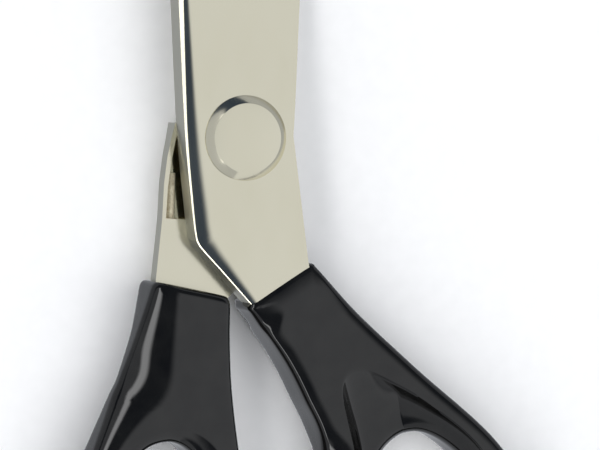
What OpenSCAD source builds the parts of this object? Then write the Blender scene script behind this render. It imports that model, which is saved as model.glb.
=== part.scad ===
// Pinking shears with a ball-bearing pivot, lying flat with the tips towards +Y.
// The pivot axis is the Z axis and the shears rest on the plane z = 0.
// The rear half (blade and left handle) is fixed; the front half turns about Z.

/* [Blades] */
// Distance from the pivot axis to the blade tips
blade_len = 95; // [85:1:105]
// Thickness of each forged blade
blade_t = 6; // [5:0.1:6.2]
// Gap between the resting plane and the rear blade's outer face
under_blade = 1; // [0.8:0.1:1.4]

/* [Teeth] */
// Pitch of the zigzag teeth along the blade
tooth_pitch = 3.2; // [2.4:0.1:5]
// Height of a tooth from root to crest
tooth_h = 2; // [1:0.1:2.6]
// Width of the toothed band along the cutting edge
tooth_band = 4.5; // [3:0.1:6]
// Distance from the pivot axis to the first tooth
tooth_start = 33; // [30:0.5:36]
// Running gap between the meshing teeth on each side
tooth_gap = 0.04; // [0.02:0.01:0.1]

/* [Pivot] */
// Running gap between the two mating faces
mate_gap = 0.02; // [0.01:0.01:0.05]
// Radius of the pivot head where it meets the blade
head_base_r = 8.5; // [8:0.1:9]
// Radius of the flat top of the pivot head
head_top_r = 7; // [6:0.1:7.5]
// Height of the pivot head
head_h = 1.35; // [1:0.05:1.5]
// Radius of the journal that the front blade turns on
journal_r = 4; // [3.5:0.1:4.2]
// Radial clearance of the front blade on the journal
journal_gap = 0.05; // [0.02:0.01:0.08]
// Number of bearing balls
ball_count = 16; // [12:1:17]
// Radius of a bearing ball
ball_r = 1; // [0.9:0.05:1]
// Radius of the circle on which the balls run
ball_circle_r = 5.8; // [5.8:0.05:5.9]
// Radius of the round nut under the rear blade
nut_r = 6.6; // [6:0.1:6.8]
// Thickness of the round nut
nut_t = 2; // [1.8:0.1:2]

/* [Handles] */
// Thickness of both handles, from the resting plane up
handle_t = 14; // [13.8:0.1:15]
// Radius of the rounding along the handle edges
handle_round = 2.4; // [1:0.2:3]
// Length of the tang inside each handle
tang_len = 20; // [14:1:22]
// Width of the tang inside each handle
tang_w = 9; // [6:0.5:10]

/* [Hidden] */
$fn = 64;
ball_names = [for (i = [1:ball_count]) str("bearing_ball_", i)];

// Heights of the stacked faces above the resting plane
z_mate = under_blade + blade_t;
z_front = z_mate + mate_gap;
z_face = z_front + blade_t;
z_head = z_face + 0.05;

// Pivot details
nut_pocket_r = 7;
nut_pocket_d = 1.6;
washer_t = under_blade + nut_pocket_d - nut_t;
thread_r = 3;
thread_gap = 0.3;
key_r = 3.6;
key_half = 2.9;
race_pocket_r = 7;
race_pocket_d = 2.5;
race_inner_r = 4.6;
groove_r = ball_r + 0.05;
ball_z = z_face - ball_r;
thrust_t = 0.5;
thrust_r = 6.4;
spanner_hole_r = 0.8;
spanner_circle_r = 4.8;

// Tooth details
relief_d = tooth_h / 2 + 0.4;
tooth_count = ceil((blade_len + 6 - tooth_start) / tooth_pitch);
tooth_step = tooth_pitch / 2;
tooth_inner_r = tooth_start - tooth_step;
land_r = tooth_start - 1.5;
band_foot = [6, 29];
band_lean = [8.5, 32];

// Forged hollow beside the pivot land, with a rounded bead along its outer wall
pocket_d = 2.2;
pocket_plan = [[9.2, 7], [12, 2.6], [13.6, -5], [14.3, -10], [14.7, -16], [-9, -17.8], [-8, -10], [4, 6]];
pocket_land_r = 9.2;
bead_r = 0.95;
bead_from = [13.25, -16.6];
bead_len = 9.6;
bead_turn = 1.6;

steel = [0.78, 0.78, 0.72];
bright = [0.7, 0.7, 0.7];
black_plastic = [0.06, 0.06, 0.06];

// Front blade outline above the tang, as seen from above
back_edge = [[-5.2, -26.1], [-8.6, -22.4], [-9.8, -20.8], [-10.3, -19.1], [-10.9, -14.5],
             [-12.45, 1.5], [-13.7, 27.5], [-14.7, 50], [-14.6, 68], [-13.4, blade_len - 11],
             [-11.9, blade_len - 3.5], [-10.4, blade_len - 0.9], [-8.2, blade_len]];
tip_edge = [[-8.2, blade_len], [-5.6, blade_len], [-3.4, blade_len - 1]];
cutting_edge = [[-2.5, blade_len - 3], [6, 29], [7.7, 20.5], [9, 13.5], [9.95, 8], [9.9, 2]];
front_shoulder = [[10.5, -2.6], [13.3, -24.8], [13.9, -28.2], [3.6, -34.6], [1.5, -33.5]];
rear_shoulder = [[12.7, 3], [13.6, -0.3], [14.4, -3.9], [15.1, -9.1], [15.5, -16.1],
                 [16.9, -28.6], [16.6, -31.3], [3.4, -33.9], [1.3, -31.8]];

// Handle sockets: centre of the mouth and the direction of the tang below it
front_tang_at = [8.3, -30.5];
front_tang_turn = 30;
rear_tang_at = [-10, -32];
rear_tang_turn = -10;

// Handle outlines from the outer corner of the mouth round to its inner corner
front_outline = [[15.4, -26.2], [24.5, -35.9], [37.4, -47.5], [54.6, -62.5], [63, -76], [65, -92],
                 [59.5, -108], [46, -117], [32, -113], [23.5, -100], [19.5, -82], [16.9, -62.5],
                 [12.6, -52.5], [8.3, -44.5], [1.8, -36]];
front_mouth = [[1.8, -36], [0.9, -33.9], [1.7, -32.6], [14, -25.2]];
front_hole = [[38.5, -60.5], [48.5, -66.5], [54.5, -78], [56, -91], [51.5, -103], [43.5, -108],
              [35.5, -103.5], [31, -92], [28.5, -79], [30.5, -66]];
rear_outline = [[-3.1, -34], [-3.2, -40], [-2.8, -50], [-1.3, -62.5], [1, -75], [2.2, -88],
                [-1.5, -101], [-11, -110], [-22, -111], [-33, -105], [-38.5, -93], [-38, -79],
                [-31.7, -62.5], [-24.8, -46.9], [-20.6, -34.5], [-19, -29.6]];
rear_mouth = [[-19, -29.6], [-17.8, -28.4], [-3.6, -31.5], [-3.1, -32.4]];
rear_hole = [[-16.3, -60.1], [-10.8, -63], [-7.8, -71], [-7.2, -82], [-10, -94], [-18, -101],
             [-26.5, -97.5], [-30, -86], [-28, -73], [-22.5, -63]];

module tang_bar(at, turn) {
  translate(at) rotate(turn) translate([-tang_w / 2, -tang_len]) square([tang_w, tang_len + 1.5]);
}

module blade_outline(shoulder) {
  polygon(concat(open_spline(back_edge), tip_edge, cutting_edge, shoulder));
}

// The strip along the cutting edge that carries the teeth
module tooth_strip() {
  edge_turn = atan2(band_lean.x, blade_len - band_lean.y);
  intersection() {
    translate(band_foot) rotate(edge_turn) translate([-tooth_band, 0]) square([2 * tooth_band, blade_len]);
    blade_outline(front_shoulder);
    difference() {
      circle(r = blade_len + 8);
      circle(r = tooth_start);
    }
  }
}

// Everything below the tooth surface, as a solid of revolution about the pivot;
// phase 0 has a crest at tooth_start and phase 1 a root
module below_teeth(phase, gap) {
  crest = tooth_h / 2;
  profile = [for (i = [0:2 * tooth_count])
              [tooth_inner_r + i * tooth_step,
               ((i + phase) % 2 == 0 ? -crest : crest) + gap]];
  r_out = tooth_inner_r + tooth_count * tooth_pitch;
  rotate_extrude(angle = 180, $fn = 96)
    polygon(concat(profile, [[r_out, -tooth_h - 1], [tooth_inner_r, -tooth_h - 1]]));
}

// One forging with its mating face on z = 0 and its outer face up
module forging(shoulder, phase) {
  difference() {
    union() {
      linear_extrude(blade_t) blade_outline(shoulder);
      translate([0, 0, -tooth_h / 2 - 0.2]) linear_extrude(tooth_h / 2 + 0.3) tooth_strip();
    }
    below_teeth(phase, tooth_gap);
    // hollow between the toothed strip and the back edge
    translate([0, 0, -tooth_h]) linear_extrude(tooth_h + relief_d) difference() {
      translate([-50, 0]) square([100, blade_len + 10]);
      circle(r = land_r);
      tooth_strip();
    }
  }
}

// Hollow left rough from the forge between the pivot land and the handle land
module forge_pocket() {
  difference() {
    translate([0, 0, -0.1]) linear_extrude(pocket_d + 0.1) intersection() {
      difference() {
        polygon(pocket_plan);
        circle(r = pocket_land_r);
      }
      blade_outline(rear_shoulder);
    }
    translate([bead_from.x, bead_from.y, pocket_d]) rotate(bead_turn) rotate([-90, 0, 0])
      cylinder(r = bead_r, h = bead_len, $fn = 32);
  }
}

module front_blade() {
  color(steel) translate([0, 0, z_front]) difference() {
    union() {
      forging(front_shoulder, 0);
      linear_extrude(blade_t) tang_bar(front_tang_at, front_tang_turn);
    }
    translate([0, 0, -1]) cylinder(r = journal_r + journal_gap, h = blade_t + 2);
    translate([0, 0, blade_t - race_pocket_d]) cylinder(r = race_pocket_r, h = blade_t);
    translate([0, 0, -1]) cylinder(r = thrust_r + 0.1, h = 1 + thrust_t + 0.05);
  }
}

module rear_blade() {
  color(steel) translate([0, 0, z_mate]) difference() {
    union() {
      mirror([0, 0, 1]) mirror([1, 0, 0]) difference() {
        forging(rear_shoulder, 1);
        forge_pocket();
      }
      translate([0, 0, -blade_t]) linear_extrude(blade_t) tang_bar(rear_tang_at, rear_tang_turn);
    }
    translate([0, 0, -blade_t - 1]) cylinder(r = nut_pocket_r, h = 1 + nut_pocket_d);
    translate([0, 0, -blade_t - 1]) linear_extrude(blade_t + 2) key_shape(0.02);
  }
}

// Round shank with two flats that stops the stud turning in the rear blade
module key_shape(gap) {
  intersection() {
    circle(r = key_r + gap);
    square([2 * (key_half + gap), 20], center = true);
  }
}

module pivot_stud() {
  color(bright) {
    translate([0, 0, z_head]) cylinder(r1 = head_base_r, r2 = head_top_r, h = head_h);
    translate([0, 0, z_mate]) cylinder(r = journal_r, h = z_head - z_mate + 0.2);
    translate([0, 0, under_blade + nut_pocket_d])
      linear_extrude(blade_t - nut_pocket_d + 0.2) key_shape(0);
    cylinder(r = thread_r - thread_gap, h = under_blade + nut_pocket_d + 0.2);
  }
}

module pivot_nut() {
  color(bright) difference() {
    cylinder(r = nut_r, h = nut_t);
    translate([0, 0, -1]) cylinder(r = thread_r, h = nut_t + 2);
    for (side = [-1, 1])
      translate([side * spanner_circle_r, 0, -1]) cylinder(r = spanner_hole_r, h = 2);
  }
}

module spring_washer() {
  color(bright) translate([0, 0, nut_t]) difference() {
    cylinder(r = nut_r, h = washer_t);
    translate([0, 0, -1]) cylinder(r = thread_r, h = washer_t + 2);
  }
}

module thrust_washer() {
  color("peru") translate([0, 0, z_mate]) difference() {
    cylinder(r = thrust_r, h = thrust_t);
    translate([0, 0, -1]) cylinder(r = journal_r + 0.05, h = thrust_t + 2);
  }
}

module bearing_race() {
  race_z = z_face - race_pocket_d;
  color(bright) difference() {
    translate([0, 0, race_z]) cylinder(r = race_pocket_r, h = ball_z - 0.1 - race_z);
    translate([0, 0, race_z - 1]) cylinder(r = race_inner_r, h = race_pocket_d + 1);
    translate([0, 0, ball_z]) rotate_extrude() translate([ball_circle_r, 0]) circle(r = groove_r);
  }
}

module bearing_ball(i) {
  color(bright) rotate(i * 360 / ball_count) translate([ball_circle_r, 0, ball_z]) sphere(r = ball_r);
}

// Smooth curve through hand-set points: a Catmull-Rom spline, closed or open
function spline_at(p, q, r, s, t) =
  0.5 * (2 * q + (r - p) * t + (2 * p - 5 * q + 4 * r - s) * t * t + (3 * q - p - 3 * r + s) * t * t * t);

function closed_spline(pts, steps = 5) = let (n = len(pts))
  [for (i = [0:n - 1], k = [0:steps - 1])
    spline_at(pts[(i + n - 1) % n], pts[i], pts[(i + 1) % n], pts[(i + 2) % n], k / steps)];

function open_spline(pts, steps = 5) = let (n = len(pts))
  [for (i = [0:n - 2], k = [0:steps - 1])
    spline_at(pts[max(i - 1, 0)], pts[i], pts[i + 1], pts[min(i + 2, n - 1)], k / steps)];

// Edge rounding by slices whose outline shrinks near the top and the bottom
module rounded_slab(steps = 3) {
  for (i = [0:steps]) {
    tilt = 90 * i / steps;
    inset = handle_round * (1 - sin(tilt));
    drop = handle_round * (1 - cos(tilt));
    translate([0, 0, drop]) linear_extrude(handle_t - 2 * drop) offset(delta = -inset) children();
  }
}

module bow_plan(outline, mouth, hole) {
  difference() {
    polygon(concat(open_spline(outline), mouth));
    polygon(closed_spline(hole));
  }
}

module front_handle() {
  color(black_plastic) difference() {
    rounded_slab() bow_plan(front_outline, front_mouth, front_hole);
    translate([0, 0, z_front]) linear_extrude(blade_t) {
      blade_outline(front_shoulder);
      tang_bar(front_tang_at, front_tang_turn);
    }
  }
}

module rear_handle() {
  color(black_plastic) difference() {
    rounded_slab() bow_plan(rear_outline, rear_mouth, rear_hole);
    translate([0, 0, under_blade]) linear_extrude(blade_t) {
      mirror([1, 0, 0]) blade_outline(rear_shoulder);
      tang_bar(rear_tang_at, rear_tang_turn);
    }
  }
}

front_blade();
rear_blade();
front_handle();
rear_handle();
pivot_stud();
pivot_nut();
spring_washer();
thrust_washer();
bearing_race();
for (i = [1:ball_count])
  bearing_ball(i);
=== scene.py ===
import math

import bmesh
import bpy
import numpy as np
from mathutils import Matrix, Vector


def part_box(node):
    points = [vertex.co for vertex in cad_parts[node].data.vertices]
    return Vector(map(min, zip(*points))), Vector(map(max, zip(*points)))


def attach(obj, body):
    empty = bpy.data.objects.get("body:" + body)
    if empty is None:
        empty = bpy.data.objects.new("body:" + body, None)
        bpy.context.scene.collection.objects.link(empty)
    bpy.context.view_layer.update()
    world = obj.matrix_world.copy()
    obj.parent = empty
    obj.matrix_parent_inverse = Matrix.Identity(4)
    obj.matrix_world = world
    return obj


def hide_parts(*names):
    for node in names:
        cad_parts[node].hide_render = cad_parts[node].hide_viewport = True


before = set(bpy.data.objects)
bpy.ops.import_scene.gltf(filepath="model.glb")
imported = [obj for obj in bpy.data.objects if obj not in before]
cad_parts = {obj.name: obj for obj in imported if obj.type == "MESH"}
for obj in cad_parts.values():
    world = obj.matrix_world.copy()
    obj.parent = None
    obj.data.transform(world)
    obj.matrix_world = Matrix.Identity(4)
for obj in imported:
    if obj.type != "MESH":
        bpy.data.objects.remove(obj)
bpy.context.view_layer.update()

MM = 0.001


def height(node, end):
    """Lowest (end 0) or highest (end 1) Z of a CAD node, in millimetres."""
    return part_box(node)[end][2] / MM


Z_FACE = height("front_blade", 1)            # outer face of the front blade
HANDLE_TOP = height("front_handle", 1)       # both handles lie from zero up to here
Z_MATE = height("thrust_washer", 0)          # where the two blades meet
Z_REAR = height("rear_blade", 0)             # outer face of the rear blade
POCKET_DEPTH = 2.2                           # of the forged pocket in the rear blade
POCKET_FLOOR = Z_MATE - POCKET_DEPTH


# ---------------------------------------------------------------- materials

def new_material(name, base, metallic, roughness, ior=1.5):
    """A Principled material; returns the material, its node tree and its shader."""
    material = bpy.data.materials.new(name)
    material.use_nodes = True
    tree = material.node_tree
    shader = tree.nodes["Principled BSDF"]
    shader.inputs["Base Color"].default_value = (*base, 1.0)
    shader.inputs["Metallic"].default_value = metallic
    shader.inputs["Roughness"].default_value = roughness
    shader.inputs["IOR"].default_value = ior
    return material, tree, shader


def object_coords(tree, scale=(1, 1, 1)):
    """Object-space position scaled per axis, for every pattern."""
    coords = tree.nodes.new("ShaderNodeTexCoord")
    mapping = tree.nodes.new("ShaderNodeMapping")
    mapping.inputs["Scale"].default_value = scale
    tree.links.new(coords.outputs["Object"], mapping.inputs["Vector"])
    return mapping.outputs["Vector"]


def noise(tree, vector, scale, detail, rough=0.5):
    node = tree.nodes.new("ShaderNodeTexNoise")
    node.inputs["Scale"].default_value = scale
    node.inputs["Detail"].default_value = detail
    node.inputs["Roughness"].default_value = rough
    tree.links.new(vector, node.inputs["Vector"])
    return node.outputs["Fac"]


def remap(tree, value, low, high, from_low=0.3, from_high=0.7):
    node = tree.nodes.new("ShaderNodeMapRange")
    node.inputs["From Min"].default_value = from_low
    node.inputs["From Max"].default_value = from_high
    node.inputs["To Min"].default_value = low
    node.inputs["To Max"].default_value = high
    tree.links.new(value, node.inputs["Value"])
    return node.outputs["Result"]


def blend_colours(tree, factor, first, second):
    node = tree.nodes.new("ShaderNodeMix")
    node.data_type = "RGBA"
    node.inputs["A"].default_value = (*first, 1.0)
    node.inputs["B"].default_value = (*second, 1.0)
    tree.links.new(factor, node.inputs["Factor"])
    return node.outputs["Result"]


def bump(tree, shader, value, strength, distance):
    node = tree.nodes.new("ShaderNodeBump")
    node.inputs["Strength"].default_value = strength
    node.inputs["Distance"].default_value = distance
    tree.links.new(value, node.inputs["Height"])
    tree.links.new(node.outputs["Normal"], shader.inputs["Normal"])


def satin_nickel():
    """Plated and finely polished blade steel, warm grey with faint cloudiness."""
    material, tree, shader = new_material("satin_nickel", (0.74, 0.73, 0.62), metallic=1.0, roughness=0.16)
    clouds = noise(tree, object_coords(tree, (1.0, 0.5, 1.0)), scale=90.0, detail=3.0, rough=0.55)
    mix = remap(tree, clouds, low=0.0, high=1.0)
    tint = blend_colours(tree, mix, (0.735, 0.70, 0.55), (0.785, 0.75, 0.60))
    tree.links.new(tint, shader.inputs["Base Color"])
    tree.links.new(remap(tree, clouds, low=0.13, high=0.19), shader.inputs["Roughness"])
    fine = noise(tree, object_coords(tree, (6.0, 1.0, 1.0)), scale=500.0, detail=2.0)
    bump(tree, shader, fine, strength=0.012, distance=0.00001)
    return material


def ground_sides():
    """The blades' sides, ground along their length and left duller than the faces."""
    material, tree, shader = new_material("ground_sides", (0.66, 0.65, 0.56), metallic=1.0, roughness=0.42)
    lines = noise(tree, object_coords(tree, (1.0, 1.0, 10.0)), scale=400.0, detail=2.0)
    tree.links.new(remap(tree, lines, low=0.36, high=0.48), shader.inputs["Roughness"])
    bump(tree, shader, lines, strength=0.05, distance=0.00002)
    return material


def as_forged():
    """Rough brownish forged skin left in the pocket beside the pivot."""
    material, tree, shader = new_material("as_forged", (0.75, 0.68, 0.5), metallic=0.2, roughness=0.5)
    grit = noise(tree, object_coords(tree), scale=900.0, detail=6.0, rough=0.7)
    mix = remap(tree, grit, low=0.0, high=1.0)
    tint = blend_colours(tree, mix, (0.50, 0.43, 0.28), (0.98, 0.92, 0.72))
    tree.links.new(tint, shader.inputs["Base Color"])
    tree.links.new(remap(tree, grit, low=0.35, high=0.6), shader.inputs["Roughness"])
    bump(tree, shader, grit, strength=0.6, distance=0.0003)
    return material


def bearing_steel():
    """Bright ground steel of the bearing parts, finer than the blades."""
    material, tree, shader = new_material("ground_steel", (0.62, 0.62, 0.62), metallic=1.0, roughness=0.18)
    lines = noise(tree, object_coords(tree, (1.0, 1.0, 8.0)), scale=600.0, detail=2.0)
    tree.links.new(remap(tree, lines, low=0.12, high=0.24), shader.inputs["Roughness"])
    bump(tree, shader, lines, strength=0.04, distance=0.00001)
    return material


def bronze():
    """Plain bearing bronze of the washer between the blades."""
    material, tree, shader = new_material("washer_bronze", (0.62, 0.40, 0.22), metallic=1.0, roughness=0.3)
    lines = noise(tree, object_coords(tree), scale=700.0, detail=3.0)
    tree.links.new(remap(tree, lines, low=0.25, high=0.4), shader.inputs["Roughness"])
    return material


def black_gloss():
    """Glossy black moulding with the slightest moulded waviness and fine dust."""
    material, tree, shader = new_material("black_gloss", (0.006, 0.006, 0.006), metallic=0.0,
                                          roughness=0.06, ior=1.52)
    grain = noise(tree, object_coords(tree), scale=240.0, detail=3.0)
    mix = remap(tree, grain, low=0.0, high=1.0)
    tint = blend_colours(tree, mix, (0.004, 0.004, 0.004), (0.008, 0.008, 0.0075))
    tree.links.new(tint, shader.inputs["Base Color"])
    tree.links.new(remap(tree, grain, low=0.04, high=0.09), shader.inputs["Roughness"])
    ripple = noise(tree, object_coords(tree), scale=60.0, detail=1.0)
    bump(tree, shader, ripple, strength=0.06, distance=0.0002)
    return material


# ---------------------------------------------------------------- plan curves

PARALLEL = 1e-9          # a ray and a side closer to parallel than this don't meet
END_SLACK = 1e-6         # lets a ray hit exactly the corner between two sides


def closed_spline(points, steps):
    """Closed Catmull-Rom curve through 2-D points."""
    count = len(points)
    curve = []
    for i in range(count):
        p, q, r, s = (Vector(points[(i + k) % count]) for k in (-1, 0, 1, 2))
        curve += [catmull(p, q, r, s, k / steps) for k in range(steps)]
    return curve


def open_spline(points, steps):
    """Open Catmull-Rom curve through 2-D points, without its last point."""
    last = len(points) - 1
    curve = []
    for i in range(last):
        p, q, r, s = (Vector(points[min(max(i + k, 0), last)]) for k in (-1, 0, 1, 2))
        curve += [catmull(p, q, r, s, k / steps) for k in range(steps)]
    return curve


def catmull(p, q, r, s, t):
    return 0.5 * (2 * q + (r - p) * t + (2 * p - 5 * q + 4 * r - s) * t * t
                  + (3 * q - p - 3 * r + s) * t ** 3)


def hit_from(centre, curve, toward):
    """Where the ray from centre through `toward` crosses a closed curve around centre."""
    ray = (toward - centre).normalized()
    best = None
    for i in range(len(curve)):
        a = curve[i] - centre
        b = curve[(i + 1) % len(curve)] - centre
        side = b - a
        cross = ray.x * side.y - ray.y * side.x
        if abs(cross) < PARALLEL:
            continue
        along = (a.x * side.y - a.y * side.x) / cross
        part = (a.x * ray.y - a.y * ray.x) / cross
        on_side = -END_SLACK <= part <= 1 + END_SLACK
        if along > 0 and on_side and (best is None or along < best):
            best = along
    return centre + ray * best


# ---------------------------------------------------------------- mesh helpers

def linked_object(name, data):
    """A new object with the given data, placed in the scene."""
    made = bpy.data.objects.new(name, data)
    bpy.context.scene.collection.objects.link(made)
    return made


def mesh_object(name, bm, material, sharp_degrees):
    """Turns a bmesh in millimetres into a smooth-shaded object in metres."""
    bmesh.ops.transform(bm, matrix=Matrix.Scale(MM, 4), verts=bm.verts)
    bmesh.ops.recalc_face_normals(bm, faces=bm.faces)
    mesh = bpy.data.meshes.new(name)
    bm.to_mesh(mesh)
    bm.free()
    mesh.materials.append(material)
    mesh.shade_smooth()
    mesh.set_sharp_from_angle(angle=math.radians(sharp_degrees))
    return linked_object(name, mesh)


def join_rings(rings):
    """Quads between successive rings of points, closed by a face at either end."""
    bm = bmesh.new()
    rows = [[bm.verts.new(point) for point in ring] for ring in rings]
    size = len(rows[0])
    for low, high in zip(rows, rows[1:]):
        for i in range(size):
            j = (i + 1) % size
            bm.faces.new((low[i], low[j], high[j], high[i]))
    bm.faces.new(rows[0])
    bm.faces.new(rows[-1])
    return bm


# ---------------------------------------------------------------- handles

NECK_ROWS = 44           # along the neck, from the mouth to the bow
NECK_COLUMNS = 44        # across the neck
BOW_SAMPLES = 240        # round the bow
FLAT_RINGS = 26          # from the outline to the finger dish
DISH_RINGS = 16          # from the dish edge to the finger hole
WALL_RINGS = 4           # down the sides
SIDE_STEPS = 12          # curve points in each gap of the sides, the bow and the mouth
LOOP_STEPS = 14          # curve points in each gap of the dish and the finger hole
ROW_CROWDING = 1.4       # above 1, the neck's rows lie closer together at the mouth
FLAT_CROWDING = 1.5      # the same for the flat rings at the outline
DISH_CROWDING = 1.15     # and for the dish rings at the dish edge
SMOOTH_PASSES = 12       # over the widths and slopes of the easing
ROOM_SHARE = 0.85        # most of the way to the dish that the easing takes up
LEAST_WIDTH = 0.01       # of an easing
LEAST_SQUARE = 1e-12     # of a side's length, so that none divides by zero
MOUTH_REACH = 12         # how far from the mouth the sides ease down less
SOFT_LIMIT = 4.0         # drops deeper than this are eased towards half the thickness
MIDDLE_GAP = 0.1         # and stay this far from it
FULL_REACH = 11.0        # a dish at least this wide is scooped to its full depth
NARROW_POWER = 0.8       # how quickly a narrower one gets shallower
CREASE_POWER = 2.2       # how steeply the scoop starts at the dish edge
LIP_RADIUS = 2.4         # width of the rounded lip into the finger hole
LIP_SHARE = 0.8          # its depth, as a share of its width
GRIP_SHARP = 55.0        # degrees; edges sharper than this aren't shaded smooth


class Outline:
    """A handle's plan: its sides and bow, its mouth, and how its edges ease down."""

    def __init__(self, right, bow, left, mouth, dish, hole, centre, roll_at):
        curve = open_spline(right + bow + left, SIDE_STEPS) + [Vector(left[-1])]
        mouth_curve = open_spline(mouth, SIDE_STEPS) + [Vector(mouth[-1])]
        right_end = (len(right) - 1) * SIDE_STEPS
        left_start = (len(right) + len(bow)) * SIDE_STEPS
        rows = [part ** ROW_CROWDING for part in parts(NECK_ROWS)]
        columns = [ease_both(part) for part in parts(NECK_COLUMNS)]
        self.right = spread(curve[:right_end + 1], rows)
        self.left = spread(curve[left_start:][::-1], rows)
        self.bow = spread(curve[right_end:left_start + 1], parts(BOW_SAMPLES))
        self.mouth = spread(mouth_curve, columns)
        self.dish = closed_spline(dish, LOOP_STEPS)
        self.hole = closed_spline(hole, LOOP_STEPS)
        self.centre = Vector(centre)
        sides = self.right + self.bow[1:] + self.left[::-1][1:]
        widths = []
        slopes = []
        for point in sides:
            width, slope = roll_at(point)
            room = (point - hit_from(self.centre, self.dish, point)).length
            widths.append(min(width, ROOM_SHARE * room))
            slopes.append(slope)
        self.widths = np.array(smooth_values(widths, SMOOTH_PASSES))
        self.slopes = np.array(smooth_values(slopes, SMOOTH_PASSES))
        self.sides = np.array([tuple(point) for point in sides])
        self.mouth_line = np.array([tuple(point) for point in self.mouth])

    def edge_drop(self, points, face):
        """Depth of a face below its flat level at each of the points.

        Near the mouth the sides ease down less, where steel lies under the skin.
        face is one of the tuples such as FRONT_UPPER."""
        mouth_width, mouth_slope, held, deeper, corner = face
        spots = np.array([tuple(point) for point in points])
        side_gap, place = nearest_on(self.sides, spots)
        mouth_gap, _ = nearest_on(self.mouth_line, spots)
        stations = np.arange(len(self.sides))
        widths = np.interp(place, stations, self.widths)
        slopes = np.interp(place, stations, self.slopes)
        side = easing(side_gap, widths, slopes)
        side *= deeper * (held + (1 - held) * np.clip(mouth_gap / MOUTH_REACH, 0, 1))
        drop = np.hypot(side, easing(mouth_gap, mouth_width, mouth_slope))
        gap = np.minimum(side_gap, mouth_gap)
        part = np.clip(1 - gap / corner, 0, 1)
        drop += corner * (1 - np.sqrt(1 - part ** 2))
        room = HANDLE_TOP / 2 - SOFT_LIMIT - MIDDLE_GAP
        eased = SOFT_LIMIT + room * np.tanh((drop - SOFT_LIMIT) / room)
        return np.where(drop < SOFT_LIMIT, drop, eased)


def parts(count):
    """Even fractions from 0 to 1, count + 1 of them."""
    return [k / count for k in range(count + 1)]


def ease_both(part):
    """0 to 1, with the steps closer together at both ends."""
    return 0.5 - 0.5 * math.cos(math.pi * part)


def smooth_values(values, passes):
    """The values with each but the ends blended with its neighbours, several times."""
    for _ in range(passes):
        inner = [0.25 * a + 0.5 * b + 0.25 * c for a, b, c in zip(values, values[1:], values[2:])]
        values = values[:1] + inner + values[-1:]
    return values


def spread(curve, fractions):
    """Points at the given fractions of an open polyline's length."""
    lengths = np.cumsum([0.0] + [(b - a).length for a, b in zip(curve, curve[1:])])
    places = np.array(fractions) * lengths[-1]
    xs = np.interp(places, lengths, [p.x for p in curve])
    ys = np.interp(places, lengths, [p.y for p in curve])
    return [Vector((x, y)) for x, y in zip(xs, ys)]


def nearest_on(line, spots):
    """Distance of each spot from a polyline, and where along it the nearest point is."""
    start = line[:-1]
    run = line[1:] - start
    offset = spots[:, None, :] - start[None, :, :]
    square = np.maximum((run * run).sum(1), LEAST_SQUARE)
    along = np.clip((offset * run).sum(2) / square, 0, 1)
    gaps = np.linalg.norm(offset - along[:, :, None] * run, axis=2)
    nearest = gaps.argmin(1)
    every = np.arange(len(spots))
    return gaps[every, nearest], nearest + along[every, nearest]


def easing(gap, width, slope):
    """A parabola that leaves the flat face at `width` and is steepest at the edge."""
    return 0.5 * slope * width * np.clip(1 - gap / np.maximum(width, LEAST_WIDTH), 0, 1) ** 2


def neck_grid(outline):
    """Rows of plan points across the neck, the first one along the mouth."""
    columns = [ease_both(part) for part in parts(NECK_COLUMNS)]
    rows = []
    for k, (left, right) in enumerate(zip(outline.left, outline.right)):
        fade = (1 - k / NECK_ROWS) ** 2
        row = []
        for share, lip in zip(columns, outline.mouth):
            straight = left.lerp(right, share)
            bulge = lip - outline.left[0].lerp(outline.right[0], share)
            row.append(straight + bulge * fade)
        rows.append(row)
    return rows


def bow_rings(outline, last_row):
    """Rings of plan points from the outside of the bow to the finger hole.

    The width of the dish at each point of a ring comes with them."""
    outer = outline.bow + last_row[1:-1]
    dish = [hit_from(outline.centre, outline.dish, point) for point in outer]
    hole = [hit_from(outline.centre, outline.hole, point) for point in outer]
    rings = []
    for part in parts(FLAT_RINGS):
        rings.append([a.lerp(b, part ** FLAT_CROWDING) for a, b in zip(outer, dish)])
    for part in parts(DISH_RINGS)[1:]:
        rings.append([a.lerp(b, part ** DISH_CROWDING) for a, b in zip(dish, hole)])
    return rings, [(a - b).length for a, b in zip(dish, hole)]


def dish_drop(part, reach, scoop):
    """Concave scoop that starts with a crease, then a rounded lip into the hole."""
    depth = scoop * min(1.0, reach / FULL_REACH) ** NARROW_POWER * (1 - (1 - part) ** CREASE_POWER)
    lip_width = min(LIP_RADIUS, reach)
    to_edge = reach * (1 - part)
    if to_edge >= lip_width:
        return depth
    turned = 1 - math.sqrt(max(0.0, 1 - (1 - to_edge / lip_width) ** 2))
    return depth + lip_width * LIP_SHARE * turned


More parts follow.
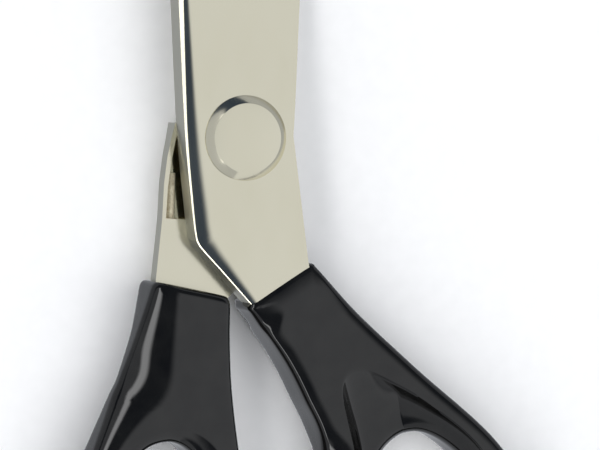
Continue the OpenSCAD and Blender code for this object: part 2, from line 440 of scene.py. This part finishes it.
def handle(outline, scoop, top_face, bottom_face):
    """A moulded bow: eased faces, tight corners and a scooped finger hole."""
    rows = neck_grid(outline)
    rings, reach = bow_rings(outline, rows[-1])
    bm = bmesh.new()
    made = {}

    def vertex(point, z):
        """One vertex for every place, however many surfaces meet there."""
        key = (round(point.x, 4), round(point.y, 4), round(z, 4))
        if key not in made:
            made[key] = bm.verts.new((point.x, point.y, z))
        return made[key]

    def quad(*corners):
        distinct = list(dict.fromkeys(corners))
        if len(distinct) > 2 and bm.faces.get(distinct) is None:
            bm.faces.new(distinct)

    def surface(grid, levels, closed):
        size = len(grid[0])
        for k in range(len(grid) - 1):
            for i in range(size if closed else size - 1):
                j = (i + 1) % size
                around = ((k, i), (k, j), (k + 1, j), (k + 1, i))
                quad(*[vertex(grid[row][place], levels[row][place]) for row, place in around])

    def levels_of(grid, face, first_dish_ring, depth):
        levels = []
        for k, ring in enumerate(grid):
            drops = outline.edge_drop(ring, face)
            if k > first_dish_ring:
                part = ((k - first_dish_ring) / DISH_RINGS) ** DISH_CROWDING
                drops = drops + np.array([dish_drop(part, r, depth) for r in reach])
            levels.append([HANDLE_TOP - drop for drop in drops])
        return levels

    def flipped(levels):
        return [[HANDLE_TOP - z for z in ring] for ring in levels]

    surface(rows, levels_of(rows, top_face, len(rows), 0.0), False)
    surface(rows, flipped(levels_of(rows, bottom_face, len(rows), 0.0)), False)
    top = levels_of(rings, top_face, FLAT_RINGS, scoop)
    bottom = flipped(levels_of(rings, bottom_face, FLAT_RINGS, 0.0))
    surface(rings, top, True)
    surface(rings, bottom, True)
    rim = outline.right[:-1] + outline.bow + outline.left[-2::-1] + outline.mouth[1:-1]
    upper = HANDLE_TOP - outline.edge_drop(rim, top_face)
    lower = outline.edge_drop(rim, bottom_face)
    wall(surface, rim, upper, lower)
    wall(surface, rings[-1], top[-1], bottom[-1])
    return bm


def wall(surface, loop, upper, lower):
    """A closed side wall along a loop of points, between two sets of levels."""
    levels = [[a + (b - a) * part for a, b in zip(upper, lower)] for part in parts(WALL_RINGS)]
    surface([loop] * (WALL_RINGS + 1), levels, True)


# Plan curves of the two grips: the sides down from the mouth, the bow between them,
# the mouth where the steel goes in, the finger hole and the dish round it.
FRONT_RIGHT = [(14.8, -25.5), (16, -27), (24.5, -35.9)]
FRONT_BOW = [(37.4, -47.5), (54.6, -62.5), (63, -76), (65, -92), (59.5, -108), (46, -117), (32, -113),
             (23.5, -100), (19.5, -82), (16.9, -62.5), (12.6, -52.5)]
FRONT_LEFT = [(8.3, -44.5), (2.2, -36), (0.8, -34.2), (1.1, -33)]
FRONT_MOUTH = [(1.1, -33), (2.3, -32.3), (7.8, -28.9), (13.4, -25.6), (14.8, -25.5)]
FRONT_HOLE = [(38.5, -60.5), (48.5, -66.5), (54.5, -78), (56, -91), (51.5, -103), (43.5, -108),
              (35.5, -103.5), (31, -92), (28.5, -79), (30.5, -66)]
FRONT_DISH = [(23.5, -46.6), (31, -49.6), (39.5, -54.6), (50.2, -63.4), (57.2, -76), (58.8, -91.5),
              (54, -105), (43.8, -111), (33, -105.6), (28, -92), (25.2, -79), (23, -64), (20.2, -50.5)]
REAR_RIGHT = [(-3.5, -32.0), (-3.15, -33.4), (-3.2, -40), (-2.8, -50)]
REAR_BOW = [(-1.3, -62.5), (1, -75), (2.2, -88), (-1.5, -101), (-11, -110), (-22, -111), (-33, -105),
            (-38.5, -93), (-38, -79), (-31.7, -62.5)]
REAR_LEFT = [(-27, -51.5), (-24.8, -46.9), (-20.6, -34.5), (-19.1, -29.6), (-18.4, -28.6)]
REAR_MOUTH = [(-18.4, -28.6), (-17.2, -28.5), (-10.6, -29.9), (-4.6, -31.3), (-3.5, -32.0)]
REAR_HOLE = [(-16.3, -60.1), (-10.8, -63), (-7.8, -71), (-7.2, -82), (-10, -94), (-18, -101),
             (-26.5, -97.5), (-30, -86), (-28, -73), (-22.5, -63)]
REAR_DISH = [(-16.6, -57.9), (-9.6, -59), (-4.6, -66), (-3.4, -82), (-6.6, -96.2), (-18, -104.4),
             (-29.2, -99.6), (-33.6, -86), (-31.4, -72), (-25.2, -61)]


FRONT_CENTRE = (43, -84)           # inside the finger hole
REAR_CENTRE = (-17.5, -80)
FRONT_SCOOP = 5.0                  # depth of the finger dish
REAR_SCOOP = 1.2

# A face of a grip: the width and slope of its easing at the mouth, how much of the
# side easing remains there, how much deeper than usual that easing is, and the
# radius where the face turns into the sides.
FRONT_UPPER = (6.5, 0.26, 0.22, 1.0, 1.1)
FRONT_LOWER = (2.0, 0.3, 0.6, 1.1, 3.0)
REAR_UPPER = (2.0, 0.35, 1.0, 1.0, 1.1)
REAR_LOWER = (2.0, 0.3, 0.1, 1.6, 3.2)

# The easing along the sides: width and slope.
FRONT_INNER = (6.5, 0.97)
FRONT_OUTER = (3.4, 0.5)
REAR_INNER = (2.6, 0.5)
REAR_OUTER = (5.5, 0.8)
# The front grip's inner side lies left of a line through this point that leans
# by this much, and never beyond INNER_END.
INNER_LINE = Vector((17, -62))
INNER_LEAN = 0.55
INNER_END = 30
# The rear grip's outer side lies left of OUTER_X or below OUTER_Y. Its easing gets
# wider for every millimetre below one level, and steeper below another, for a while.
OUTER_X = -17
OUTER_Y = -104
WIDENS_BELOW = -30
WIDENING = 0.29
STEEPENS_BELOW = -42
STEEPENING = 0.025
STEEPENS_FOR = 10.0


def front_roll(point):
    """Width and slope of the easing: broad on the inner side, narrow on the other."""
    line_x = INNER_LINE.x - INNER_LEAN * (point.y - INNER_LINE.y)
    return FRONT_INNER if point.x < min(line_x, INNER_END) else FRONT_OUTER


def rear_roll(point):
    """Very broad on the outer side and round the bottom, narrow on the inner side."""
    if point.x >= OUTER_X and point.y >= OUTER_Y:
        return REAR_INNER
    wider = WIDENING * max(0.0, WIDENS_BELOW - point.y)
    steeper = STEEPENING * min(max(STEEPENS_BELOW - point.y, 0.0), STEEPENS_FOR)
    return REAR_OUTER[0] + wider, REAR_OUTER[1] + steeper


def build_handles(plastic):
    """Both moulded grips, in place of the CAD handles."""
    front = Outline(FRONT_RIGHT, FRONT_BOW, FRONT_LEFT, FRONT_MOUTH, FRONT_DISH, FRONT_HOLE,
                    FRONT_CENTRE, front_roll)
    rear = Outline(REAR_RIGHT, REAR_BOW, REAR_LEFT, REAR_MOUTH, REAR_DISH, REAR_HOLE,
                   REAR_CENTRE, rear_roll)
    front_shape = handle(front, FRONT_SCOOP, FRONT_UPPER, FRONT_LOWER)
    rear_shape = handle(rear, REAR_SCOOP, REAR_UPPER, REAR_LOWER)
    grips = [
        ("front_grip", "front_handle", "front_half", front_shape),
        ("rear_grip", "rear_handle", "rear_half", rear_shape),
    ]
    for name, node, body, bm in grips:
        piece = mesh_object(name, bm, plastic, GRIP_SHARP)
        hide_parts(node)
        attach(piece, body)


# ---------------------------------------------------------------- blades

# The back of the front blade from the tip to the handle, and how wide its outer
# face rolls down towards that edge at the same points.
BACK_EDGE = [(-8.2, 95), (-10.4, 94.1), (-11.9, 91.5), (-13.4, 84), (-14.6, 68), (-14.7, 50),
             (-13.7, 27.5), (-12.45, 1.5), (-10.9, -14.5), (-10.3, -19.1), (-9.8, -20.8),
             (-8.6, -22.4), (-5.2, -26.1), (1.5, -33.5), (4.5, -36.8)]
ROLL_WIDTH = [0.8, 1.0, 1.1, 1.3, 1.5, 1.7, 2.1, 3.0, 3.6, 3.7, 3.7, 3.6, 2.8, 1.5, 1.4]
ROLL_SLOPE = 0.40        # how steep that roll gets where it meets the chamfer
# Width and slope of the small chamfer between the roll and the side.
BREAK_WIDTH = [0.3, 0.4, 0.5, 0.7, 0.8, 0.85, 0.8, 0.42, 0.28, 0.25, 0.22, 0.2, 0.2, 0.15, 0.1]
BREAK_SLOPE = 0.68
# The outer edge of the rear blade between the pivot and its handle, whose
# underside is rolled more deeply.
SHOULDER_EDGE = [(-11.6, 7), (-12.7, 3), (-13.6, -0.3), (-14.4, -3.9), (-15.1, -9.1), (-15.5, -16.1),
                 (-16.9, -28.6), (-16.6, -31.3)]
SHOULDER_WIDTH = [0.3, 1.4, 2.2, 2.4, 2.4, 2.4, 2.4, 1.0]
SHOULDER_SLOPE = 2.3
SHOULDER_BREAK = [0.1] * len(SHOULDER_EDGE)
ROLL_STEPS = 12          # across the roll
EDGE_STEPS = 5           # along it, in each gap of the edge's points
CUTTER_REACH = 1.0       # how far the cutter stands out past the edge
CUTTER_RISE = 1.5        # and above the face
CUTTER_LEAN = 0.01       # its inner side leans by this much
WELD = 1e-7              # metres; vertices closer than this are one
FLAT_DEGREES = 0.05      # faces that turn less than this are one
BLADE_SHARP = 9.0        # degrees; keeps the chamfer crisp and the roll smooth
SIDE_LIMIT = 0.1         # a face whose normal rises less than this is a side
CHAMFER_MARGIN = 0.03    # how closely a normal has to match the chamfer's
# The blades' finishes, by their place in the list of materials.
POLISHED = 0
FORGED = 1
GROUND = 2
# The forged pocket of the rear blade lies in this part of the plan, outside the
# ground ring round the pivot; its floor and walls in these levels.
POCKET_X = (-14.9, 9)
POCKET_Y = (-17.6, 9)
RING_RADIUS = 9
POCKET_LEVELS = (POCKET_FLOOR - 0.1, Z_MATE - 0.05)


def mirrored(points):
    """The points on the other side of the blades' long axis."""
    return [(-x, y) for x, y in points]


def sampled(values, steps):
    """The values again, with `steps` evenly blended ones in each gap."""
    return [a + (b - a) * k / steps for a, b in zip(values, values[1:]) for k in range(steps)]


def roll_profile(width, slope, chamfer):
    """Section of the cutter: distance in from the edge and height above the face."""
    depth = 0.5 * slope * (width - chamfer)
    lowest = -depth - BREAK_SLOPE * chamfer
    foot = lowest - BREAK_SLOPE * CUTTER_REACH
    points = [(-CUTTER_REACH, CUTTER_RISE), (-CUTTER_REACH, foot), (0.0, lowest)]
    for k in range(ROLL_STEPS + 1):
        part = k / ROLL_STEPS
        points.append((chamfer + (width - chamfer) * part, -depth * (1 - part) ** 2))
    return points + [(width + CUTTER_LEAN, CUTTER_RISE)]


def roll_cutter(edge, roll_widths, slope, chamfers, side, face_z, up):
    """Solid that, taken away, leaves the face rolled down along an edge.

    side is +1 where the blade lies left of the edge's direction; up is the way
    the face looks, +1 or -1."""
    curve = open_spline(edge, EDGE_STEPS)
    widths = sampled(roll_widths, EDGE_STEPS)
    breaks = sampled(chamfers, EDGE_STEPS)
    last = len(curve) - 1
    rings = []
    for i, point in enumerate(curve):
        along = (curve[min(i + 1, last)] - curve[max(i - 1, 0)]).normalized()
        inward = Vector((-along.y, along.x)) * side
        ring = []
        for distance, lift in roll_profile(widths[i], slope, breaks[i]):
            spot = point + inward * distance
            ring.append(Vector((spot.x, spot.y, face_z + up * lift)))
        rings.append(ring)
    bm = join_rings(rings)
    bmesh.ops.recalc_face_normals(bm, faces=bm.faces)
    return bm


def cut_away(target, cutter_bm):
    """Takes a cutter (in millimetres) out of a finished object (in metres)."""
    bmesh.ops.transform(cutter_bm, matrix=Matrix.Scale(MM, 4), verts=cutter_bm.verts)
    mesh = bpy.data.meshes.new("cutter")
    cutter_bm.to_mesh(mesh)
    cutter_bm.free()
    cutter = linked_object("cutter", mesh)
    modifier = target.modifiers.new("cut", "BOOLEAN")
    modifier.operation = "DIFFERENCE"
    modifier.solver = "EXACT"
    modifier.object = cutter
    modifier.use_self = True
    bpy.context.view_layer.update()
    graph = bpy.context.evaluated_depsgraph_get()
    result = bpy.data.meshes.new_from_object(target.evaluated_get(graph))
    target.modifiers.remove(modifier)
    old = target.data
    target.data = result
    bpy.data.meshes.remove(old)
    bpy.data.objects.remove(cutter)
    bpy.data.meshes.remove(mesh)


def welded_copy(node, name):
    """A separate object made from a CAD node's mesh, with its vertices welded."""
    bm = bmesh.new()
    bm.from_mesh(bpy.data.objects[node].data)
    bmesh.ops.remove_doubles(bm, verts=bm.verts, dist=WELD)
    flat = math.radians(FLAT_DEGREES)
    bmesh.ops.dissolve_limit(bm, angle_limit=flat, verts=bm.verts, edges=bm.edges)
    mesh = bpy.data.meshes.new(name)
    bm.to_mesh(mesh)
    bm.free()
    return linked_object(name, mesh)


def blade(name, node, body, cutters, finishes):
    """A forged blade with its outer face rolled down; its plain sides are ground."""
    piece = welded_copy(node, name)
    for cutter in cutters:
        cut_away(piece, cutter)
    mesh = piece.data
    mesh.materials.clear()
    for material in finishes:
        mesh.materials.append(material)
    mesh.shade_smooth()
    mesh.set_sharp_from_angle(angle=math.radians(BLADE_SHARP))
    chamfer_rise = 1 / math.hypot(1, BREAK_SLOPE)
    for face in mesh.polygons:
        rise = abs(face.normal.z)
        face.material_index = GROUND if rise < SIDE_LIMIT else POLISHED
        face.use_smooth = abs(rise - chamfer_rise) > CHAMFER_MARGIN
    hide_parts(node)
    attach(piece, body)
    return piece


def build_blades(nickel, forged, ground):
    """Both blades, in place of the CAD blades."""
    finishes = [nickel, forged, ground]
    front_back = roll_cutter(BACK_EDGE, ROLL_WIDTH, ROLL_SLOPE, BREAK_WIDTH, 1, Z_FACE, 1)
    blade("front_blade_shape", "front_blade", "front_half", [front_back], finishes)
    back = roll_cutter(mirrored(BACK_EDGE), ROLL_WIDTH, ROLL_SLOPE, BREAK_WIDTH, -1, Z_REAR, -1)
    shoulder = roll_cutter(SHOULDER_EDGE, SHOULDER_WIDTH, SHOULDER_SLOPE, SHOULDER_BREAK, 1, Z_REAR, -1)
    rear = blade("rear_blade_shape", "rear_blade", "rear_half", [shoulder, back], finishes)
    mark_pocket(rear.data)


def mark_pocket(mesh):
    """Gives the unground floor and walls of the pocket the as-forged finish."""
    for face in mesh.polygons:
        spot = face.center / MM
        beside = POCKET_X[0] < spot.x < POCKET_X[1] and POCKET_Y[0] < spot.y < POCKET_Y[1]
        sunk = POCKET_LEVELS[0] < spot.z < POCKET_LEVELS[1]
        if beside and sunk and spot.xy.length > RING_RADIUS:
            face.material_index = FORGED


# ---------------------------------------------------------------- pivot

TURNS = 128              # sides of everything round
FILLET_STEPS = 4
END_RADIUS = 0.5         # the flat ends are closed from here to the axis
HEAD_GAP = 0.02          # between the head and the blade under it
HEAD_TOP_RADIUS = 6.93   # the flat top ends here, in a fillet
HEAD_TOP_FILLET = 0.08
HEAD_FOOT_RADIUS = 8.36  # the conical rim ends here, in another
HEAD_FOOT_FILLET = 0.12
JOURNAL_RADIUS = 4.0     # in the front blade
SHANK_RADIUS = 3.3       # in the rear blade
THREAD_RADIUS = 2.7
THREAD_TOP = 2.7         # level where the thread starts
THREAD_END = 2.45        # radius of its chamfered end
THREAD_CHAMFER = 0.25
PIVOT_SHARP = 28.0       # degrees; edges sharper than this aren't shaded smooth


def lathe(profile):
    """Solid of revolution about Z from (radius, height) points, closed at both axis ends."""
    turns = [math.tau * k / TURNS for k in range(TURNS)]
    rings = []
    for radius, z in profile:
        rings.append([Vector((radius * math.cos(turn), radius * math.sin(turn), z)) for turn in turns])
    return join_rings(rings)


def arc(centre, radius, start, end):
    """Points of a fillet in the lathe's (radius, height) plane, angles in degrees."""
    result = []
    for k in range(FILLET_STEPS + 1):
        angle = math.radians(start + (end - start) * k / FILLET_STEPS)
        result.append((centre[0] + radius * math.cos(angle), centre[1] + radius * math.sin(angle)))
    return result


def build_pivot(nickel):
    """The flat head with its conical rim, its journal and its threaded end."""
    top = height("pivot_stud", 1)
    low = Z_FACE + HEAD_GAP
    profile = [(END_RADIUS, top)]
    profile += arc((HEAD_TOP_RADIUS, top - HEAD_TOP_FILLET), HEAD_TOP_FILLET, 90, 45)
    profile += arc((HEAD_FOOT_RADIUS, low + HEAD_FOOT_FILLET), HEAD_FOOT_FILLET, 45, -30)
    profile += [(JOURNAL_RADIUS, low), (JOURNAL_RADIUS, Z_MATE)]
    profile += [(SHANK_RADIUS, Z_MATE), (SHANK_RADIUS, THREAD_TOP)]
    profile += [(THREAD_RADIUS, THREAD_TOP), (THREAD_RADIUS, THREAD_CHAMFER)]
    profile += [(THREAD_END, 0.0), (END_RADIUS, 0.0)]
    piece = mesh_object("pivot_screw", lathe(profile), nickel, PIVOT_SHARP)
    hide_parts("pivot_stud")
    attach(piece, "rear_half")


# ---------------------------------------------------------------- studio

def smooth_window(tree, value, low, high, fade):
    """1 where value lies between low and high, falling off over fade."""
    rise = tree.nodes.new("ShaderNodeMapRange")
    fall = tree.nodes.new("ShaderNodeMapRange")
    product = tree.nodes.new("ShaderNodeMath")
    product.operation = "MULTIPLY"
    for node, edge, before, after in ((rise, low, 0.0, 1.0), (fall, high, 1.0, 0.0)):
        node.interpolation_type = "SMOOTHSTEP"
        node.inputs["From Min"].default_value = edge - fade / 2
        node.inputs["From Max"].default_value = edge + fade / 2
        node.inputs["To Min"].default_value = before
        node.inputs["To Max"].default_value = after
        tree.links.new(value, node.inputs["Value"])
    tree.links.new(rise.outputs["Result"], product.inputs[0])
    tree.links.new(fall.outputs["Result"], product.inputs[1])
    return product.outputs["Value"]


def math_node(tree, operation, first, second):
    """One sum in a node tree; each side is a number or another node's output."""
    node = tree.nodes.new("ShaderNodeMath")
    node.operation = operation
    for socket, value in zip(node.inputs, (first, second)):
        if isinstance(value, (int, float)):
            socket.default_value = value
        else:
            tree.links.new(value, socket)
    return node.outputs["Value"]


# Soft boxes of the studio: brightness, X range, Y range and fade, each as the
# tangent of the angle away from straight up.
SOFT_BOXES = [
    (0.96, (0.11, 60.0), (-60.0, 0.22), 0.32),
    (5.0, (-1.14, -0.78), (-1.7, 1.5), 0.2),
    (0.62, (-60.0, -1.1), (-60.0, 2.6), 0.4),
    (0.62, (-1.1, 0.1), (-60.0, -1.3), 0.5),
    (0.55, (1.6, 60.0), (0.2, 60.0), 0.4),
]
STUDIO_BASE = (0.04, 0.055, 0.085)
TABLE_LEVEL = 0.5        # brightness of the table as the polished parts mirror it
BACKDROP = (0.9, 0.9, 0.9)
LEAST_RISE = 0.02        # keeps the tangents finite towards the horizon
HORIZON_FADE = 0.01
# Area lights: name, place, size and power. They all point at the origin.
LAMPS = [
    ("overhead", (0.5, -0.3, 1.6), 2.2, 20.0),
    ("left_fill", (-1.4, 0.2, 1.0), 1.6, 10.0),
]
TABLE_HALF = 4.0         # half the width of the table, in metres


def build_world():
    """A dark studio with soft boxes and a plain pale backdrop."""
    world = bpy.data.worlds.new("studio")
    bpy.context.scene.world = world
    world.use_nodes = True
    tree = world.node_tree
    tree.nodes.clear()
    coords = tree.nodes.new("ShaderNodeTexCoord")
    split = tree.nodes.new("ShaderNodeSeparateXYZ")
    tree.links.new(coords.outputs["Generated"], split.inputs["Vector"])
    up = math_node(tree, "MAXIMUM", split.outputs["Z"], LEAST_RISE)
    across = math_node(tree, "DIVIDE", split.outputs["X"], up)
    along = math_node(tree, "DIVIDE", split.outputs["Y"], up)
    total = 0.0
    for power, x_range, y_range, fade in SOFT_BOXES:
        in_x = smooth_window(tree, across, *x_range, fade)
        in_y = smooth_window(tree, along, *y_range, fade)
        inside = math_node(tree, "MULTIPLY", in_x, in_y)
        total = math_node(tree, "ADD", math_node(tree, "MULTIPLY", inside, power), total)
    above = smooth_window(tree, split.outputs["Z"], 0.0, 2.0, HORIZON_FADE)
    below = math_node(tree, "SUBTRACT", 1.0, above)
    sky = math_node(tree, "MULTIPLY", total, above)
    table = math_node(tree, "MULTIPLY", below, TABLE_LEVEL)
    total = math_node(tree, "ADD", sky, table)
    boxes = tree.nodes.new("ShaderNodeBackground")
    base = tree.nodes.new("ShaderNodeBackground")
    both = tree.nodes.new("ShaderNodeAddShader")
    output = tree.nodes.new("ShaderNodeOutputWorld")
    tree.links.new(total, boxes.inputs["Strength"])
    base.inputs["Color"].default_value = (*STUDIO_BASE, 1.0)
    tree.links.new(boxes.outputs["Background"], both.inputs[0])
    tree.links.new(base.outputs["Background"], both.inputs[1])
    backdrop = tree.nodes.new("ShaderNodeBackground")
    path = tree.nodes.new("ShaderNodeLightPath")
    backdrop.inputs["Color"].default_value = (*BACKDROP, 1.0)
    seen = tree.nodes.new("ShaderNodeMixShader")
    tree.links.new(path.outputs["Is Camera Ray"], seen.inputs[0])
    tree.links.new(both.outputs["Shader"], seen.inputs[1])
    tree.links.new(backdrop.outputs["Background"], seen.inputs[2])
    tree.links.new(seen.outputs["Shader"], output.inputs["Surface"])


def soft_light(name, place, size, power):
    """An area light that fills the floor but isn't mirrored in the gloss."""
    lamp = bpy.data.lights.new(name, "AREA")
    lamp.size = size
    lamp.energy = power
    holder = linked_object(name, lamp)
    holder.location = place
    holder.rotation_euler = (-Vector(place)).to_track_quat("-Z", "Y").to_euler()
    holder.visible_glossy = False


def build_floor():
    """A plain pale table top, large enough for every view."""
    bm = bmesh.new()
    corners = ((-1, -1), (1, -1), (1, 1), (-1, 1))
    bm.faces.new([bm.verts.new((x * TABLE_HALF, y * TABLE_HALF, 0.0)) for x, y in corners])
    mesh = bpy.data.meshes.new("floor")
    bm.to_mesh(mesh)
    bm.free()
    material, tree, shader = new_material("pale_table", (0.9, 0.9, 0.9), metallic=0.0, roughness=0.8)
    grain = noise(tree, object_coords(tree), scale=300.0, detail=2.0)
    mix = remap(tree, grain, low=0.0, high=1.0)
    tint = blend_colours(tree, mix, (0.89, 0.89, 0.89), (0.91, 0.91, 0.91))
    tree.links.new(tint, shader.inputs["Base Color"])
    mesh.materials.append(material)
    floor = linked_object("floor", mesh)
    floor.visible_glossy = False


# Camera: long lens, from the left of straight above, aimed beside the pivot.
VIEW_LEFT = math.radians(20.5)
VIEW_FORWARD = math.radians(3.0)
AIM = Vector((11.5, -17.5, Z_FACE)) * MM
FIELD_WIDTH = 120.0 * MM
LENS = 200.0
SENSOR = 36.0
NEAREST = 0.01           # metres from the camera that it sees, and the farthest
FARTHEST = 50.0


def build_camera():
    """A long lens looking down at the shears, turned by VIEW_LEFT and VIEW_FORWARD."""
    data = bpy.data.cameras.new("camera")
    data.lens = LENS
    data.sensor_width = SENSOR
    data.clip_start = NEAREST
    data.clip_end = FARTHEST
    camera = linked_object("camera", data)
    back = Vector((-math.sin(VIEW_LEFT) * math.cos(VIEW_FORWARD), math.sin(VIEW_FORWARD),
                   math.cos(VIEW_LEFT) * math.cos(VIEW_FORWARD)))
    right = Vector((0, 1, 0)).cross(back).normalized()
    turn = Matrix((right, back.cross(right), back)).transposed()
    place = AIM + back * FIELD_WIDTH * LENS / SENSOR
    camera.matrix_world = Matrix.Translation(place) @ turn.to_4x4()
    bpy.context.scene.camera = camera


def finish_cad_nodes(finishes):
    """Gives the CAD nodes that stay visible their own finish."""
    for node, material in finishes.items():
        data = bpy.data.objects[node].data
        data.materials.clear()
        data.materials.append(material)


def main():
    bpy.context.scene.view_settings.view_transform = "Standard"
    build_camera()
    build_world()
    build_floor()
    for lamp in LAMPS:
        soft_light(*lamp)
    nickel = satin_nickel()
    ground = bearing_steel()
    plastic = black_gloss()
    finishes = {"pivot_nut": ground, "spring_washer": ground, "thrust_washer": bronze(),
                "bearing_race": ground}
    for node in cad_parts:
        if node.startswith("bearing_ball"):
            finishes[node] = ground
    finish_cad_nodes(finishes)
    build_blades(nickel, as_forged(), ground_sides())
    build_pivot(nickel)
    build_handles(plastic)


main()
